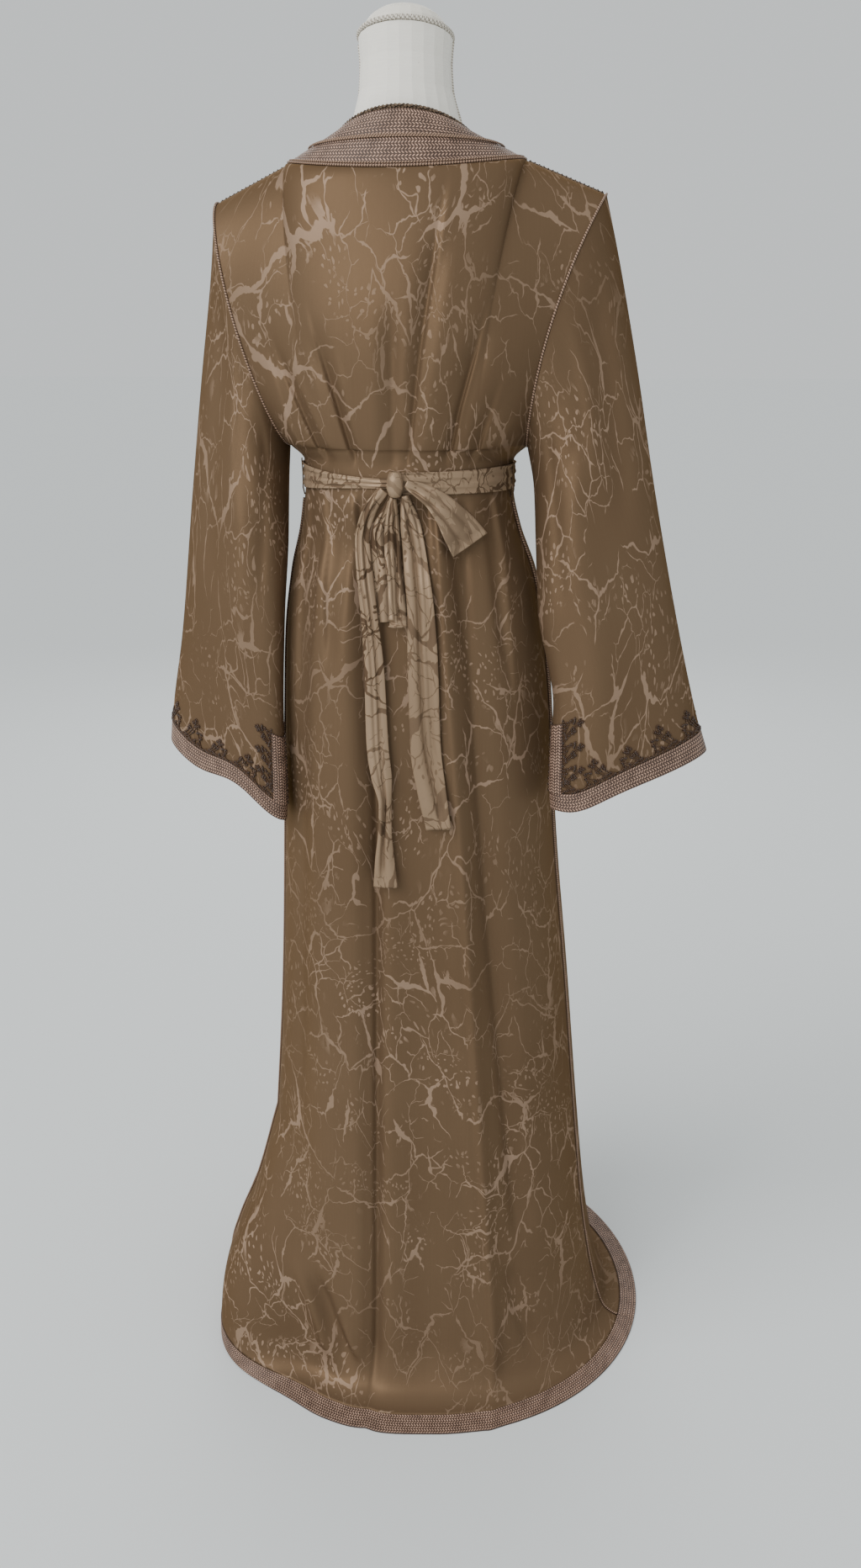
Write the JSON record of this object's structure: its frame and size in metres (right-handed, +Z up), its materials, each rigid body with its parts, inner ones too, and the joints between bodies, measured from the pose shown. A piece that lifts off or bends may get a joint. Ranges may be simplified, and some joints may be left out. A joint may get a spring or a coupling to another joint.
{
  "type": "moroccan kaftan on a dress form",
  "caption": "Full-length bell-sleeved kaftan with braided neck, cuff and hem trims and a belt tied behind, worn by a limbless dress form.",
  "frame": {"origin": "middle of the stand's base on the floor, under the middle of the garment", "axes": "+Z up, -Y the way the garment's front faces, +X the wearer's left"},
  "size_m": [0.6826, 0.5845, 1.692],
  "materials": {
    "taupe_satin": "satin jacquard, low sheen, with a lighter veined figure",
    "sfifa_braid": "braided silk trim in fine rows",
    "dark_cord": "twisted silk cord",
    "champagne_satin": "reverse side of the satin, with darker veins",
    "ivory_linen": "matt linen stretched over the form",
    "stand_metal": "satin black"
  },
  "bodies": {
    "root": {"kaftan_back": "taupe_satin", "kaftan_front_left": "taupe_satin", "kaftan_front_right": "taupe_satin", "sleeve_left": "taupe_satin", "sleeve_right": "taupe_satin", "belt_carrier_left": "taupe_satin", "belt_carrier_right": "taupe_satin", "hem_band_back": "sfifa_braid", "hem_band_front_left": "sfifa_braid", "hem_band_front_right": "sfifa_braid", "front_band_left": "sfifa_braid", "front_band_right": "sfifa_braid", "neckband_outer": "sfifa_braid", "neckband_inner": "sfifa_braid", "cuff_band_left": "sfifa_braid", "cuff_band_right": "sfifa_braid", "side_cord_left": "sfifa_braid", "side_cord_right": "sfifa_braid", "neck_edge_cord": "dark_cord", "belt_back_left": "champagne_satin", "belt_back_right": "champagne_satin", "belt_front": "champagne_satin", "bow_knot": "champagne_satin", "bow_loop_left_outer": "champagne_satin", "bow_loop_left_inner": "champagne_satin", "bow_loop_right": "champagne_satin", "bow_tail_left": "champagne_satin", "bow_tail_right": "champagne_satin", "dress_form": "ivory_linen", "neck_cap": "ivory_linen", "neck_ring": "ivory_linen", "stand_pole": "stand_metal", "stand_base": "stand_metal"}
  },
  "joints": []
}
